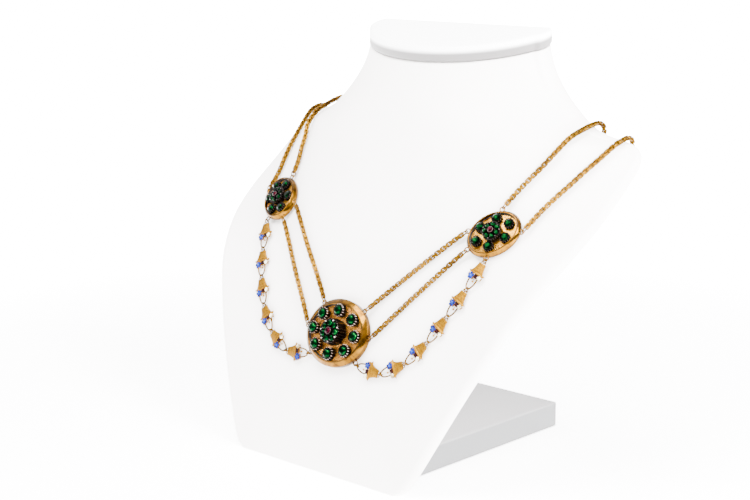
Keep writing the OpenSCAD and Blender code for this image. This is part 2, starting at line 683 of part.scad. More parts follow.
bust_shell();
neck_cap();
bust_foot();
centre_plaque();
ring_collets(centre_frame, centre_ring);  // centre_collets
rosette_cup(centre_frame, centre_ring, centre_rosette);
petal_stones(centre_frame, centre_ring, centre_rosette);  // centre_petals
ruby(centre_frame, centre_ring, centre_rosette);  // centre_ruby
for (i = [1 : centre_ring[COUNT]])
    ring_stone(centre_frame, centre_ring, i - 1);
for (s = SIDES) on_side(s) {
    side_plaque();
    ring_collets(side_frame, side_ring);
    rosette_cup(side_frame, side_ring, side_rosette);
    petal_stones(side_frame, side_ring, side_rosette);
    ruby(side_frame, side_ring, side_rosette);
    for (i = [1 : side_ring[COUNT]])
        ring_stone(side_frame, side_ring, i - 1);
}
for (s = SIDES) {
    for (i = [1 : BASKETS])
        basket(s, i);
    garland_rings(s);
    for (level = LEVELS)
        front_strand(strand_ends(s, level));
}
back_strand(inner_route);  // back_strand_inner
back_strand(outer_route);  // back_strand_outer
clasp();
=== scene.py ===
# Enamel festoon necklace on a white neck bust stand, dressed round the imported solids.
# Metres, +Z up, the chest looks along -Y. The image is taken as 750 by 500.
import math

import bpy
from mathutils import Matrix, Vector


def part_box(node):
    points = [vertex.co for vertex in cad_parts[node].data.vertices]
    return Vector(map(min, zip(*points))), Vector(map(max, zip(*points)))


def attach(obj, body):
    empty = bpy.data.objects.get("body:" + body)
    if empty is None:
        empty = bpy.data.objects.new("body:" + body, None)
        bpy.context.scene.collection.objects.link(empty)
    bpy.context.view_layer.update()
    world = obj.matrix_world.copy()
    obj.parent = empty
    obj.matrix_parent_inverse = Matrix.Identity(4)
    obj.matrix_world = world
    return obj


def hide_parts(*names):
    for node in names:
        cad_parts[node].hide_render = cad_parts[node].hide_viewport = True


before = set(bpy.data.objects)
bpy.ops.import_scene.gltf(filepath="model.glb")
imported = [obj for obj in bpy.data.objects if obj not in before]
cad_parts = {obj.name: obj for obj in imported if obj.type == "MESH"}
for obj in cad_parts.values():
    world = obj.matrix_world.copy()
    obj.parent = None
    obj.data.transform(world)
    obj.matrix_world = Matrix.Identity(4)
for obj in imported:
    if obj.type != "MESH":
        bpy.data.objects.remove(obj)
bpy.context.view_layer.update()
MM = 0.001

# Camera: a short telephoto at the photograph's height and angle, well to the right of the chest.
# The lens is for a 36 mm wide sensor.
AZIMUTH, ELEVATION = math.radians(43.09), math.radians(11.65)
EYE = (0.5253, -0.5866, 0.2613)
LENS = 76.64
NEAREST = 0.05
camera = bpy.data.objects.new("camera", bpy.data.cameras.new("camera"))
bpy.context.scene.collection.objects.link(camera)
bpy.context.scene.camera = camera
camera.data.lens = LENS
camera.data.clip_start = NEAREST
camera.location = EYE
camera.rotation_euler = (math.radians(90) - ELEVATION, 0, AZIMUTH)

# Stage: a wide pale floor that runs on into a white surround, and soft light from large panels.
# What the metal mirrors is brighter above than at the sides. The floor gives off light of its own, a
# painted light, dimmer near the chest and before it.
# Distances are in metres, and brightness is emission strength.
FLOOR_SIZE, FLOOR_DROP = 16.0, 0.0002
FLOOR_NEAR, FLOOR_FAR = 5.0, 24.0
NEAR_TO, FAR_FROM = 0.2, 1.0
DIM_BEFORE, FULL_BEHIND, DIM_SHARE = -0.7, -0.25, 0.1
SURROUND_WHITE = 24.0
SKY_TOP, SKY_SIDE = 3.5, 0.4
# The sky brightens between these heights of the direction seen, from 0 at the horizon to 1 overhead.
SKY_LOW, SKY_HIGH = 0.15, 0.55
CHEST = (0, 0, 0.1)


class Wire:
    """One output in a material's nodes. Arithmetic on wires and numbers adds Math nodes."""

    def __init__(self, tree, socket=None):
        self.tree = tree
        self.socket = socket

    def node(self, kind, sockets=None, out=0, **settings):
        """Adds a node: first its settings, then the value or wire of each socket."""
        made = self.tree.nodes.new("ShaderNode" + kind)
        for name, value in settings.items():
            setattr(made, name, value)
        for name, value in (sockets or {}).items():
            if isinstance(value, Wire):
                self.tree.links.new(value.socket, made.inputs[name])
            else:
                made.inputs[name].default_value = value
        return Wire(self.tree, made.outputs[out])

    def to(self, socket):
        self.tree.links.new(self.socket, socket)

    def math(self, operation, first, second=0.0):
        return self.node("Math", {0: first, 1: second}, operation=operation)

    def __add__(self, other):
        return self.math("ADD", self, other)

    def __mul__(self, other):
        return self.math("MULTIPLY", self, other)

    def __radd__(self, other):
        return self.math("ADD", other, self)

    def __rsub__(self, other):
        return self.math("SUBTRACT", other, self)

    def __rmul__(self, other):
        return self.math("MULTIPLY", other, self)

    def step(self, low, high):
        """0 below low, 1 above high, and smooth between them."""
        return self.node("MapRange", {"Value": self, "From Min": low, "From Max": high},
                         interpolation_type="SMOOTHSTEP")


def new_finish(name, **fixed):
    """A new material with fixed values on its shader's sockets, and a wire to start its nodes from."""
    material = bpy.data.materials.new(name)
    material.use_nodes = True
    shader = material.node_tree.nodes["Principled BSDF"]
    for socket, value in fixed.items():
        shader.inputs[socket.replace("_", " ")].default_value = value
    return material, shader.inputs, Wire(material.node_tree)


bpy.ops.object.select_all(action="DESELECT")
bpy.ops.mesh.primitive_plane_add(size=FLOOR_SIZE, location=(0, 0, -FLOOR_DROP))
floor = bpy.context.object
floor.name = "floor"
floor_paint, sockets, wire = new_finish("floor_paint", Base_Color=(0.95, 0.95, 0.95, 1), Roughness=0.8)
# Painted light: the floor's own glow, dimmed near the chest and on the side before it, full far off.
place = wire.node("TexCoord", out="Object")
away = wire.node("VectorMath", {0: place}, out="Value", operation="LENGTH")
behind = wire.node("SeparateXYZ", {0: place}, out="Y").step(DIM_BEFORE, FULL_BEHIND)
near_share = FLOOR_NEAR / FLOOR_FAR
bright_share = DIM_SHARE + (1 - DIM_SHARE) * behind
glow = near_share + (1 - near_share) * away.step(NEAR_TO, FAR_FROM) * bright_share
wire.node("CombineColor", {0: glow, 1: glow, 2: glow}).to(sockets["Emission Color"])
sockets["Emission Strength"].default_value = FLOOR_FAR
floor.data.materials.append(floor_paint)

world = bpy.data.worlds.new("white_surround")
bpy.context.scene.world = world
world.use_nodes = True
background = world.node_tree.nodes["Background"].inputs
background["Color"].default_value = (1, 1, 1, 1)
wire = Wire(world.node_tree)
height = wire.node("SeparateXYZ", {0: wire.node("TexCoord", out="Generated")}, out="Z")
glow = SKY_SIDE + (SKY_TOP - SKY_SIDE) * height.step(SKY_LOW, SKY_HIGH)
seen = wire.node("LightPath", out="Is Camera Ray")
(glow + seen * SURROUND_WHITE).to(background["Strength"])


def soft_panel(name, place, aim, size, watts):
    """A square panel light turned towards its aim, which the camera itself doesn't see."""
    light = bpy.data.lights.new(name, "AREA")
    light.size = size
    light.energy = watts
    panel = bpy.data.objects.new(name, light)
    bpy.context.scene.collection.objects.link(panel)
    panel.location = place
    panel.rotation_euler = (Vector(aim) - Vector(place)).to_track_quat("-Z", "Y").to_euler()
    panel.visible_camera = False


soft_panel("key_panel", (-0.1, -0.4, 1.1), CHEST, size=0.7, watts=70)
soft_panel("side_panel", (0.9, -0.1, 0.7), CHEST, size=0.5, watts=80)

# Bust: a thin padded chest panel that runs up into the shoulders and the neck, hollow behind.
# It is moulded in one piece and wrapped in white leatherette with a fine grain.
# Scales of the cover's grain and of the slow waves in its tone.
GRAIN, WAVES = 1400, 22


def only(*pieces):
    """Selects these pieces alone, the first of them active."""
    bpy.ops.object.select_all(action="DESELECT")
    for piece in pieces:
        piece.select_set(True)
    bpy.context.view_layer.objects.active = pieces[0]


def merged_copy(node, name):
    """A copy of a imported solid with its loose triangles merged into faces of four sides."""
    piece = bpy.data.objects.new(name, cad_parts[node].data.copy())
    bpy.context.scene.collection.objects.link(piece)
    piece.data.materials.clear()
    only(piece)
    bpy.ops.mesh.customdata_custom_splitnormals_clear()
    bpy.ops.object.mode_set(mode="EDIT")
    bpy.ops.mesh.select_all(action="SELECT")
    bpy.ops.mesh.remove_doubles(threshold=0.01 * MM)
    bpy.ops.mesh.tris_convert_to_quads(face_threshold=math.radians(50), shape_threshold=math.radians(60))
    bpy.ops.object.mode_set(mode="OBJECT")
    return piece


def rounded(piece, sharp, crease, levels):
    """Creases the edges that turn more than sharp, in degrees, and subdivides the rest smooth."""
    only(piece)
    bpy.ops.object.mode_set(mode="EDIT")
    bpy.ops.mesh.select_mode(type="EDGE")
    bpy.ops.mesh.select_all(action="DESELECT")
    bpy.ops.mesh.edges_select_sharp(sharpness=math.radians(sharp))
    bpy.ops.transform.edge_crease(value=crease)
    bpy.ops.mesh.select_mode(type="VERT")
    bpy.ops.object.mode_set(mode="OBJECT")
    smooth = piece.modifiers.new("smooth", "SUBSURF")
    smooth.levels = smooth.render_levels = levels
    bpy.ops.object.modifier_apply(modifier="smooth")
    bpy.ops.object.shade_smooth_by_angle(angle=math.radians(40))


def wear(piece, slot, material, *nodes):
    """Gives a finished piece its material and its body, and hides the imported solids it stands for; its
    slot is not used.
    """
    if material:
        piece.data.materials.clear()
        piece.data.materials.append(material)
    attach(piece, "root")
    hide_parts(*nodes)


def facing(node, direction, allowed):
    """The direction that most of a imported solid's surface faces, turned to a given direction's side.
    Only those faces count whose normal has an allowed part along the given direction."""
    areas = {}
    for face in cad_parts[node].data.polygons:
        if allowed(abs(face.normal.dot(direction))):
            key = tuple(round(value, 2) for value in face.normal)
            areas[key] = areas.get(key, Vector((0, 0, 0))) + face.normal * face.area
    found = max(areas.values(), key=lambda total: total.length).normalized()
    return -found if found.dot(direction) < 0 else found


def note_level(piece, up):
    """Keeps the height of each point of a piece along a direction, from 0 to 1, for its material."""
    heights = [vertex.co.dot(up) for vertex in piece.data.vertices]
    low, high = min(heights), max(heights)
    levels = piece.data.attributes.new("level", "FLOAT", "POINT")
    for value, height in zip(levels.data, heights):
        value.value = (height - low) / (high - low)


def leatherette(name, light, dark, dark_below=None, light_above=None):
    """Leatherette with a fine grain, uneven in tone.
    With two levels, its tone goes from dark at the first to light at the second, as painted shade by
    height."""
    material, sockets, wire = new_finish(name, Metallic=0, Coat_Roughness=0.4)
    place = wire.node("TexCoord", out="Object")
    pores = wire.node("TexVoronoi", {"Vector": place, "Scale": GRAIN}, out="Distance", feature="F1")
    waves = wire.node("TexNoise", {"Vector": place, "Scale": WAVES, "Detail": 2})
    if light_above is None:
        darker = waves.step(0.35, 0.7)
    else:
        level = wire.node("Attribute", out="Fac", attribute_name="level")
        darker = 1 - level.step(dark_below, light_above)
    tone = wire.node("Mix", {"Factor": darker, 6: (*light, 1), 7: (*dark, 1)}, out=2, data_type="RGBA")
    tone.to(sockets["Base Color"])
    (0.42 + 0.16 * waves).to(sockets["Roughness"])
    relief = pores + 0.6 * waves
    wire.node("Bump", {"Height": relief, "Strength": 0.12, "Distance": 0.2 * MM}).to(sockets["Normal"])
    return material


white_cover = leatherette("white_leatherette", (0.82, 0.785, 0.77), (0.79, 0.755, 0.74))

bust = merged_copy("bust_shell", "bust_cover")
rounded(bust, sharp=50, crease=0.75, levels=2)
wear(bust, "bust_leatherette", white_cover, "bust_shell")

# Neck cap: a padded lid with a rolled edge that closes the neck and stands a little proud of it.
# It is a board wrapped in the same leatherette and glued on. Its top is painted lighter and its lower edge
# grey, as painted light and shade.
cap = merged_copy("neck_cap", "cap_cover")
rounded(cap, sharp=30, crease=0.35, levels=3)
note_level(cap, facing("neck_cap", Vector((0, 0, 1)), lambda part: part > 0.8))
# Painted light and shade: near white on the cap's top, dark grey round its lower edge.
cap_cover = leatherette("cap_leatherette_painted_light_and_shade", (0.97, 0.97, 0.97), (0.12, 0.113, 0.112),
                        dark_below=0.45, light_above=0.8)
wear(cap, "bust_leatherette", cap_cover, "neck_cap")

# Foot: a flat wrapped box behind the panel that takes the bust's weight.
# Its leatherette is painted grey as shade, darker than the chest's and most of all at the sides.
FOOT_ROUND = 0.9 * MM


def softened(piece, width, segments=2, angle=30):
    """Bevels the edges that turn more than an angle, in degrees, and shades the rest smooth."""
    only(piece)
    bevel = piece.modifiers.new("bevel", "BEVEL")
    bevel.width = width
    bevel.segments = segments
    bevel.limit_method = "ANGLE"
    bevel.angle_limit = math.radians(angle)
    bpy.ops.object.modifier_apply(modifier="bevel")
    bpy.ops.object.shade_smooth_by_angle(angle=math.radians(angle))
    return piece


foot = softened(merged_copy("bust_foot", "foot_cover"), FOOT_ROUND, segments=4)
note_level(foot, Vector((0, 0, 1)))
# Painted shade: the foot's grey, darkest on its sides.
foot_cover = leatherette("foot_leatherette_painted_shade", (0.24, 0.235, 0.237), (0.11, 0.112, 0.114),
                         dark_below=0.9, light_above=1.0)
wear(foot, "bust_leatherette", foot_cover, "bust_foot")

# Plaques: three oval cases of gold with a broad sloped rim, a sunk plate and soldered loops.
# Each is raised from sheet, its rim polished and its plate chased with small leaves.
# A plaque's own frame, in millimetres, runs across, up the slope and out from the foot of its case.
CASE_SIDES = 96
PLATE_DROP = 1.4
SEAM = 0.3
GROOVE = 0.4
# Scales of the gold's noises: its darker patches, and the bends and cells of its chased curls.
PATCHES = 130
CURL_BENDS, CURL_CELLS, CURL_SWAY = 500, 520, 1.2 * MM
LOOP_R, LOOP_WIRE, LOOP_OUT = 1.2, 0.32, 0.75
MIRROR = Matrix.Diagonal((-1, 1, 1, 1))


def plaque_place(middle, turn, lean):
    """A plaque's own frame, from its middle in millimetres, and its turn and backward lean in degrees."""
    return (Matrix.Translation(Vector(middle) * MM) @ Matrix.Rotation(math.radians(turn), 4, "Z")
            @ Matrix.Rotation(math.radians(90 - lean), 4, "X") @ Matrix.Scale(MM, 4))


CENTRE = plaque_place((0, -49.65, 64.91), 0, 21.34)
RIGHT = plaque_place((70.91, -19.61, 118.82), 11.18, 36.47)
HANDS = {"right": RIGHT, "left": MIRROR @ RIGHT}
SIDE_TURN = math.radians(38)


def grown(name, levels, sides=4):
    """A solid grown upwards from an oval, or from a rectangle if it has four sides.
    Each level is two half widths and a height."""
    bpy.ops.object.select_all(action="DESELECT")
    if sides == 4:
        bpy.ops.mesh.primitive_plane_add(size=2)
    else:
        bpy.ops.mesh.primitive_circle_add(vertices=sides, radius=1, fill_type="NGON")
    piece = bpy.context.object
    piece.name = name
    bpy.ops.object.mode_set(mode="EDIT")
    bpy.ops.mesh.select_all(action="SELECT")
    a, b, z = levels[0]
    bpy.ops.transform.resize(value=(a, b, 1))
    bpy.ops.transform.translate(value=(0, 0, z))
    for wide, high, up in levels[1:]:
        bpy.ops.mesh.extrude_region_move(TRANSFORM_OT_translate={"value": (0, 0, up - z)})
        bpy.ops.transform.resize(value=(wide / a, high / b, 1))
        a, b, z = wide, high, up
    bpy.ops.mesh.select_all(action="SELECT")
    bpy.ops.mesh.normals_make_consistent(inside=False)
    bpy.ops.object.mode_set(mode="OBJECT")
    return piece


def painted(piece, *materials):
    """Gives a piece these materials in place of its own."""
    piece.data.materials.clear()
    for material in materials:
        piece.data.materials.append(material)
    return piece


def ring(radius, wire_radius, material, sides=24, around=8):
    """A round ring of round wire."""
    bpy.ops.object.select_all(action="DESELECT")
    bpy.ops.mesh.primitive_torus_add(major_radius=radius, minor_radius=wire_radius,
                                     major_segments=sides, minor_segments=around)
    bpy.ops.object.shade_smooth()
    return painted(bpy.context.object, material)


def put(piece, where):
    """Moves a piece's mesh, and turns its faces outwards again after a mirror."""
    piece.data.transform(where)
    if where.determinant() < 0:
        piece.data.flip_normals()
    return piece


def joined(name, pieces):
    """Joins pieces as one mesh under a new name."""
    only(*pieces)
    bpy.ops.object.join()
    bpy.context.object.name = name
    return bpy.context.object


def repeated(name, model, places):
    """Copies of a model, one at each place, joined as one mesh. The model itself goes."""
    copies = []
    for where in places:
        copy = bpy.data.objects.new(name, model.data.copy())
        bpy.context.scene.collection.objects.link(copy)
        copies.append(put(copy, where))
    bpy.data.objects.remove(model)
    return joined(name, copies)


def reach(a, b, turn, direction):
    """How far an oval's edge is from its middle in a direction."""
    return 1 / math.hypot(math.cos(direction - turn) / a, math.sin(direction - turn) / b)


def gold_finish(name, light, dark, roughness, relief, scale, curls=0):
    """Polished or chased gold, darker in patches, with relief in millimetres at a scale.
    With curls it also has dark chased lines, that share of the way to the darker gold."""
    material, sockets, wire = new_finish(name, Metallic=1)
    place = wire.node("TexCoord", out="Object")
    cloud = wire.node("TexNoise", {"Vector": place, "Scale": PATCHES, "Detail": 3})
    chased = wire.node("TexNoise", {"Vector": place, "Scale": scale, "Detail": 4, "Distortion": 1.5})
    deep = cloud.step(0.42, 0.68) * (0.6 - curls / 2) + chased.step(0.5, 0.62) * 0.4
    if curls:
        bent = wire.node("TexNoise", {"Vector": place, "Scale": CURL_BENDS, "Detail": 1}, out="Color")
        swayed = wire.node("VectorMath", {0: place, 1: bent, 2: (CURL_SWAY,) * 3},
                           operation="MULTIPLY_ADD")
        lines = wire.node("TexVoronoi", {"Vector": swayed, "Scale": CURL_CELLS}, out="Distance",
                          feature="DISTANCE_TO_EDGE")
        deep = deep + curls * (1 - lines.step(0.04, 0.32))
    tone = wire.node("Mix", {"Factor": deep, 6: (*light, 1), 7: (*dark, 1)}, out=2, data_type="RGBA")
    tone.to(sockets["Base Color"])
    (roughness + 0.12 * cloud).to(sockets["Roughness"])
    wire.node("Bump", {"Height": chased, "Strength": 0.9, "Distance": relief * MM}).to(sockets["Normal"])
    return material


rim_gold = gold_finish("rim_gold", (0.13, 0.057, 0.0036), (0.026, 0.009, 0.0006),
                       roughness=0.1, relief=0.07, scale=260)
plate_gold = gold_finish("plate_gold", (0.85, 0.38, 0.06), (0.07, 0.02, 0.003),
                         roughness=0.22, relief=0.25, scale=620, curls=0.8)
# The two side plates are one gold, and the left is painted paler as painted light, since it mirrors the
# dimmer side of the stage.
SIDE_PLATE_GOLDS = {
    "right": gold_finish("right_plate_gold", (0.42, 0.21, 0.02), (0.05, 0.014, 0.0015),
                         roughness=0.22, relief=0.2, scale=620, curls=0.6),
    "left": gold_finish("left_plate_gold_painted_light", (0.9, 0.45, 0.06), (0.11, 0.03, 0.003),
                        roughness=0.22, relief=0.2, scale=620, curls=0.6)}
# Painted shade: a near-black finish for the seam round the sunk plate and for the groove in the rim.
seam_painted_shade = new_finish("shadowed_seam", Base_Color=(0.01, 0.004, 0.002, 1), Roughness=0.6)[0]


def case(a, b, depth, rim, plate_finish):
    """The case of a plaque: an upright wall, a broad slope, a groove, a narrow ledge and the sunk plate
    in its seam. The profile's rows, from the foot inwards, are how far in and how high a point lies."""
    slope_end = rim - 0.75
    plate = depth - PLATE_DROP
    profile = [
        (0.35, 0),
        (0, 0.5),
        (0, depth - 1.7),
        (slope_end, depth - 0.15),
        (slope_end + 0.1, depth - GROOVE),
        (slope_end + 0.25, depth - GROOVE),
        (slope_end + 0.3, depth - 0.05),
        (rim - 0.2, depth),
        (rim, depth - 0.1),
        (rim, plate - 0.1),
        (rim + SEAM, plate - 0.1),
        (rim + SEAM + 0.05, plate)]
    levels = [(a - inset, b - inset, z) for inset, z in profile]
    piece = softened(grown("case", levels, CASE_SIDES), width=0.08)
    painted(piece, rim_gold, plate_finish, seam_painted_shade)
    # The rim's inner wall down to the plate and the groove take the painted shade.
    for face in piece.data.polygons:
        x, y, z = face.center
        inner = math.hypot(x / (a - rim - SEAM), y / (b - rim - SEAM))
        if 0.6 < z < depth - 0.4 and inner < 1.03:
            face.material_index = 1 if inner < 0.985 else 2
        elif abs(z - depth + GROOVE) < 0.02:
            face.material_index = 2
    return piece


def loop_at(x, y, z):
    """A soldered loop that lies flat at a place in the plaque's own frame."""
    return put(ring(LOOP_R, LOOP_WIRE, rim_gold, around=10), Matrix.Translation((x, y, z)))


def edge_loop(a, b, turn, direction, z):
    """A loop just past the edge of an oval case, in a direction from its middle."""
    out = reach(a, b, turn, direction) + LOOP_OUT
    return loop_at(out * math.cos(direction), out * math.sin(direction), z)


CENTRE_A, CENTRE_B, CENTRE_CASE, CENTRE_RIM = 19.8, 16.8, 4.6, 2.8
# Loops stand in these directions, in degrees from the plaque's own X axis.
CENTRE_LOOPS, CENTRE_LOOP_Z = (44, 2, 178, 136), 2.0
GARLAND_HOOK, GARLAND_LOOP_Z = Vector((16.22, -12.74)), 1.03
pieces = [case(CENTRE_A, CENTRE_B, CENTRE_CASE, CENTRE_RIM, plate_gold)]
for direction in CENTRE_LOOPS:
    pieces.append(edge_loop(CENTRE_A, CENTRE_B, 0, math.radians(direction), CENTRE_LOOP_Z))
hook = GARLAND_HOOK - GARLAND_HOOK.normalized() * LOOP_R
for hand in (-1, 1):
    pieces.append(loop_at(hand * hook.x, hook.y, GARLAND_LOOP_Z))
centre_case = put(joined("centre_case", pieces), CENTRE)
wear(centre_case, "gold", None, "centre_plaque")

SIDE_A, SIDE_B, SIDE_CASE, SIDE_RIM = 13.8, 11.2, 3.4, 1.75
SIDE_LOOP_Z = 1.8
FRONT_LOOPS, GARLAND_LOOP, INNER_LOOP, OUTER_LOOP = (181, 222), 271, 88, 10
for side, where in HANDS.items():
    side_case = case(SIDE_A, SIDE_B, SIDE_CASE, SIDE_RIM, SIDE_PLATE_GOLDS[side])
    pieces = [put(side_case, Matrix.Rotation(SIDE_TURN, 4, "Z"))]
    for direction in (*FRONT_LOOPS, GARLAND_LOOP, INNER_LOOP, OUTER_LOOP):
        pieces.append(edge_loop(SIDE_A, SIDE_B, SIDE_TURN, math.radians(direction), SIDE_LOOP_Z))
    wear(put(joined(side + "_case", pieces), where), "gold", None, side + "_plaque")

# Stone cups: tapered cups of blackened silver, one round each outer stone, soldered to the plate.
# Each has fourteen ribs with filed upper ends, like teeth, that stop just below the brim.
# The teeth are bright on the centre plaque; on the side ones the same silver is painted darker, as painted
# shade.
CUP_R, CUP_TOP_R, CUP_BORE, SEAT = 3.1, 2.945, 2.5, 1.1
FLUTE = 0.2
# The sizes are the centre plaque's. The side plaques' cups and stones are smaller by this.
SIDE_SIZE = 0.84
CENTRE_CUP_H, SIDE_CUP_H = 2.9, 2.0 / SIDE_SIZE
RIBS, RIB_R = 14, 0.12
# How far a soldered or set piece stays off the next.
GAP = 0.1
# A tooth's points: how far past the brim's radius, how far below the brim, and the taper.
TOOTH_H, TOOTH_R = 1.3, 0.18
TOOTH = [(0.08, TOOTH_H, 0.4), (0.06, 0.55, 1), (0.02, 0.26, 0.9)]


def mottled(name, light, dark, scale, detail, steps, gloss, **fixed):
    """A finish that a noise turns from light to dark between two steps.
    The gloss is the roughness where the noise is 0, and how much rougher it is where the noise is 1."""
    material, sockets, wire = new_finish(name, **fixed)
    place = wire.node("TexCoord", out="Object")
    noise = wire.node("TexNoise", {"Vector": place, "Scale": scale, "Detail": detail})
    wire.node("Mix", {"Factor": noise.step(*steps), 6: (*light, 1), 7: (*dark, 1)},
              out=2, data_type="RGBA").to(sockets["Base Color"])
    (gloss[0] + gloss[1] * noise).to(sockets["Roughness"])
    return material, sockets, noise


dark_silver, sockets, soot = mottled("blackened_silver", (0.0015, 0.001, 0.0008), (0.01, 0.007, 0.006),
                                     scale=900, detail=3, steps=(0.45, 0.75), gloss=(0.3, 0.3),
                                     Metallic=1)
soot.node("Bump", {"Height": soot, "Strength": 0.6, "Distance": 0.06 * MM}).to(sockets["Normal"])


def filed_silver(name, light, dark):
    """Silver filed clear of its black, soiled in places."""
    return mottled(name, light, dark, scale=900, detail=3, steps=(0.4, 0.7), gloss=(0.2, 0.25),
                   Metallic=0.5)[0]


bright_silver = filed_silver("filed_silver", (0.7, 0.56, 0.52), (0.12, 0.1, 0.09))
# Painted shade: the side plaques' teeth and beads, the same filed silver made darker.
painted_shade_silver = filed_silver("painted_shade_silver", (0.05, 0.04, 0.036), (0.004, 0.003, 0.0025))
TOOTH_SILVER = {"centre": bright_silver, "right": painted_shade_silver, "left": painted_shade_silver}


def drawn_wire(points, radius, material, tapers=None, cyclic=False, fineness=1):
    """A wire bent along points, its radius at each multiplied by that point's taper."""
    curve = bpy.data.curves.new("wire", "CURVE")
    curve.dimensions = "3D"
    curve.bevel_depth = radius
    curve.bevel_resolution = fineness
    curve.use_fill_caps = True
    spline = curve.splines.new("POLY")
    spline.points.add(len(points) - 1)
    spline.use_cyclic_u = cyclic
    for point, place, taper in zip(spline.points, points, tapers or [1] * len(points)):
        point.co = (*place, 1)
        point.radius = taper
    piece = bpy.data.objects.new("wire", curve)
    bpy.context.scene.collection.objects.link(piece)
    only(piece)
    bpy.ops.object.convert(target="MESH")
    bpy.ops.object.mode_set(mode="EDIT")
    bpy.ops.mesh.select_all(action="SELECT")
    bpy.ops.mesh.remove_doubles(threshold=radius / 50)
    bpy.ops.mesh.normals_make_consistent(inside=False)
    bpy.ops.object.mode_set(mode="OBJECT")
    bpy.ops.object.shade_smooth_by_angle(angle=math.radians(60))
    return painted(bpy.context.object, material)


def about(count, offset=0.0):
    """Turns about the Z axis, evenly spaced."""
    return [Matrix.Rotation(2 * math.pi * (i + offset) / count, 4, "Z") for i in range(count)]


def filed_end(brim, h, points, radius, silver):
    """A rib's filed upper end, on a cup whose brim has a radius and a height."""
    places = [(brim + out, 0, h - below) for out, below, taper in points]
    return drawn_wire(places, radius, silver, [taper for out, below, taper in points])


def stone_cup(h, silver):
    """One fluted cup of a height, with a rib on each ridge and the rib's filed upper end."""
    radii = [(CUP_R, 0), (CUP_TOP_R, h), (CUP_BORE, h), (CUP_BORE, h - SEAT)]
    cup = grown("cup", [(r, r, z) for r, z in radii], sides=2 * RIBS)
    for vertex in cup.data.vertices:
        step = math.atan2(vertex.co.y, vertex.co.x) / math.pi * RIBS
        r = math.hypot(*vertex.co.xy)
        if round(step) % 2 and r > CUP_BORE + GAP:
            vertex.co.xy *= (r - FLUTE) / r
    painted(cup, dark_silver)
    rib = drawn_wire([(CUP_R, 0, 0.1), (CUP_TOP_R + 0.05, 0, h - TOOTH_H)], RIB_R, dark_silver)
    rib = joined("rib", [rib, filed_end(CUP_TOP_R, h, TOOTH, TOOTH_R, silver)])
    return joined("cup", [cup, repeated("ribs", rib, about(RIBS))])


def stone_places(a, b, count, size, turn, plate):
    """Where the stones of an oval ring stand: each with its own middle, size and turn."""
    places = []
    for i in range(count):
        angle = 2 * math.pi * i / count
        on_oval = Vector((a * math.cos(angle), b * math.sin(angle), plate + GAP))
        middle = Matrix.Rotation(turn, 4, "Z") @ on_oval
        places.append(Matrix.Translation(middle) @ Matrix.Scale(size, 4) @ Matrix.Rotation(angle, 4, "Z"))
    return places


CENTRE_RING = stone_places(a=13.7, b=10.8, count=8, size=1, turn=0, plate=CENTRE_CASE - PLATE_DROP)
SIDE_RING = stone_places(a=8.7, b=6.8, count=6, size=SIDE_SIZE, turn=SIDE_TURN,
                         plate=SIDE_CASE - PLATE_DROP)
# Each plaque: its own frame, where its stones stand in it, and the height of their cups.
PLAQUES = {"centre": (CENTRE, CENTRE_RING, CENTRE_CUP_H), "right": (RIGHT, SIDE_RING, SIDE_CUP_H),
           "left": (HANDS["left"], SIDE_RING, SIDE_CUP_H)}
for name, (where, places, cup_h) in PLAQUES.items():
    cups = put(repeated(name + "_cups", stone_cup(cup_h, TOOTH_SILVER[name]), places), where)
    wear(cups, "dark_silver", None, name + "_collets")

# Green stones: cut glass pastes over foil, each with a table, two rows of facets and a girdle.
# They sit loose in the bore of their cups and stand half their height above the brim.
STONE_SIDES = 10
STONE_R, STONE_H, STONE_GAP = 2.35, 1.9, 0.15
# The cut's levels, as shares of the radius and the height: foot, girdle, the crown's break and table.
CUT = [(0.8, 0), (1, 0.38), (1, 0.48), (0.85, 0.78), (0.56, 1)]


def foiled_paste(name, light, dark):
    """Cut glass over foil, which shows the foil's colour, darker in places."""
    return mottled(name, light, dark, scale=950, detail=2, steps=(0.42, 0.58), gloss=(0.06, 0.08),
                   Metallic=1)[0]


green_glass = foiled_paste("foiled_green_paste", (0.0002, 0.026, 0.0046), (0.0001, 0.002, 0.0007))
# Painted shade: the side plaques' pastes are the same green made darker, against the bright light their
# tables mirror.
side_green_glass_painted_shade = foiled_paste("side_green_paste_painted_shade", (0.0001, 0.0075, 0.0012), (0.0001, 0.0005, 0.0002))
PASTES = {"centre": green_glass, "right": side_green_glass_painted_shade, "left": side_green_glass_painted_shade}


def cut_stone(name, r, h, material):
    """A stone cut to a radius and a height, its crown's break turned by half a side."""
    stone = grown(name, [(wide * r, wide * r, high * h) for wide, high in CUT], sides=STONE_SIDES)
    half_step = Matrix.Rotation(math.pi / STONE_SIDES, 2)
    for vertex in stone.data.vertices:
        if 0.7 * h < vertex.co.z < 0.85 * h:
            vertex.co.xy = half_step @ vertex.co.xy
    only(stone)
    bpy.ops.object.mode_set(mode="EDIT")
    bpy.ops.mesh.select_all(action="SELECT")
    bpy.ops.mesh.quads_convert_to_tris(quad_method="SHORTEST_DIAGONAL")
    bpy.ops.object.mode_set(mode="OBJECT")
    return painted(stone, material)


for name, (where, places, cup_h) in PLAQUES.items():
    set_in = Matrix.Translation((0, 0, cup_h - SEAT + STONE_GAP))
    for number, place in enumerate(places, 1):
        stone = cut_stone(f"{name}_paste_{number}", STONE_R, STONE_H, PASTES[name])
        wear(put(stone, where @ place @ set_in), "green_stone", None, f"{name}_stone_{number}")

